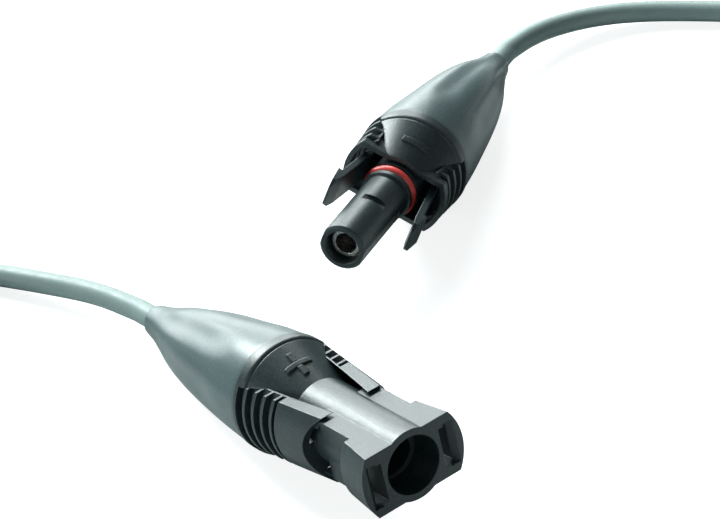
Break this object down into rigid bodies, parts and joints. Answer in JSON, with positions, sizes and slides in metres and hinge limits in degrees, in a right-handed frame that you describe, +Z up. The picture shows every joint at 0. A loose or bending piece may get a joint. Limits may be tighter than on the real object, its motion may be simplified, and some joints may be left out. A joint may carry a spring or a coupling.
{
  "type": "solar cable connector",
  "caption": "Unmated pair of single-pole plug-in cable connectors for solar panels, with latches, sealing ring, screwed cable glands and short coiled leads.",
  "frame": {"origin": "centre of the footprint of the two halves, on the surface they lie on, cables not counted", "axes": "+Z up from that surface; the noses of both halves point towards -Y, the pin half also towards +X and the socket half towards -X"},
  "size_m": [0.2672, 0.1521, 0.0218],
  "materials": {
    "housing_plastic": "fine matte moulded",
    "nut_plastic": "satin",
    "cage_plastic": "satin",
    "seal_rubber": "matte",
    "o_ring_rubber": "satin",
    "cable_jacket": "matte",
    "tinned_copper": "satin",
    "spring_metal": "bright",
    "tie_plastic": "matte"
  },
  "bodies": {
    "pin_half": {"pin_housing": "housing_plastic", "pin_contact": "tinned_copper", "pin_contact_clip": "spring_metal", "pin_conductor": "tinned_copper", "pin_cable_jacket": "cable_jacket", "pin_cable_seal": "seal_rubber", "pin_cable": "cable_jacket", "pin_cable_coil": "cable_jacket", "pin_coil_tie": "tie_plastic", "pin_stripped_end": "tinned_copper"},
    "pin_cage": {"pin_clamping_cage": "cage_plastic"},
    "pin_nut": {"pin_gland_nut": "nut_plastic"},
    "socket_half": {"socket_housing": "housing_plastic", "socket_contact": "tinned_copper", "socket_contact_lamella": "spring_metal", "socket_contact_clip": "spring_metal", "socket_conductor": "tinned_copper", "socket_cable_jacket": "cable_jacket", "socket_cable_seal": "seal_rubber", "mating_o_ring": "o_ring_rubber", "socket_cable": "cable_jacket", "socket_cable_coil": "cable_jacket", "socket_coil_tie": "tie_plastic", "socket_stripped_end": "tinned_copper"},
    "socket_cage": {"socket_clamping_cage": "cage_plastic"},
    "socket_nut": {"socket_gland_nut": "nut_plastic"},
    "left_latch": {"latch_left": "housing_plastic"},
    "right_latch": {"latch_right": "housing_plastic"}
  },
  "joints": [
    {"name": "pin_cage_slide", "type": "slide", "parent": "pin_half", "child": "pin_cage", "axis": [-0.5142, 0.849, -0.1219], "range_m": [0, 0.006]},
    {"name": "pin_nut_turn", "type": "hinge", "parent": "pin_cage", "child": "pin_nut", "pos_m": [-0.01452, -0.03119, 0.01087], "axis": [-0.5142, 0.849, -0.1219], "range_deg": [0, 1440]},
    {"name": "socket_half_lift", "type": "slide", "parent": "pin_half", "child": "socket_half", "axis": [0, 0, 1], "range_m": [0, 0.04]},
    {"name": "socket_cage_slide", "type": "slide", "parent": "socket_half", "child": "socket_cage", "axis": [0.4842, 0.8664, -0.1219], "range_m": [0, 0.006]},
    {"name": "socket_nut_turn", "type": "hinge", "parent": "socket_cage", "child": "socket_nut", "pos_m": [0.01572, 0.03092, 0.01087], "axis": [0.4842, 0.8664, -0.1219], "range_deg": [0, 1440]},
    {"name": "left_latch_flex", "type": "hinge", "parent": "socket_half", "child": "left_latch", "pos_m": [0.019, 0.02576, 0.00856], "axis": [-0.4387, 0.1199, -0.8906], "range_deg": [0, 8], "stiffness_Nm_per_rad": 0.3},
    {"name": "right_latch_flex", "type": "hinge", "parent": "socket_half", "child": "right_latch", "pos_m": [0.00992, 0.03158, 0.01382], "axis": [0.4387, -0.1199, 0.8906], "range_deg": [0, 8], "stiffness_Nm_per_rad": 0.3}
  ],
  "couplings": [
    {"joint": "pin_nut_turn", "follows": "pin_cage_slide", "rad_per_m": 4188.8},
    {"joint": "socket_nut_turn", "follows": "socket_cage_slide", "rad_per_m": 4188.8}
  ]
}
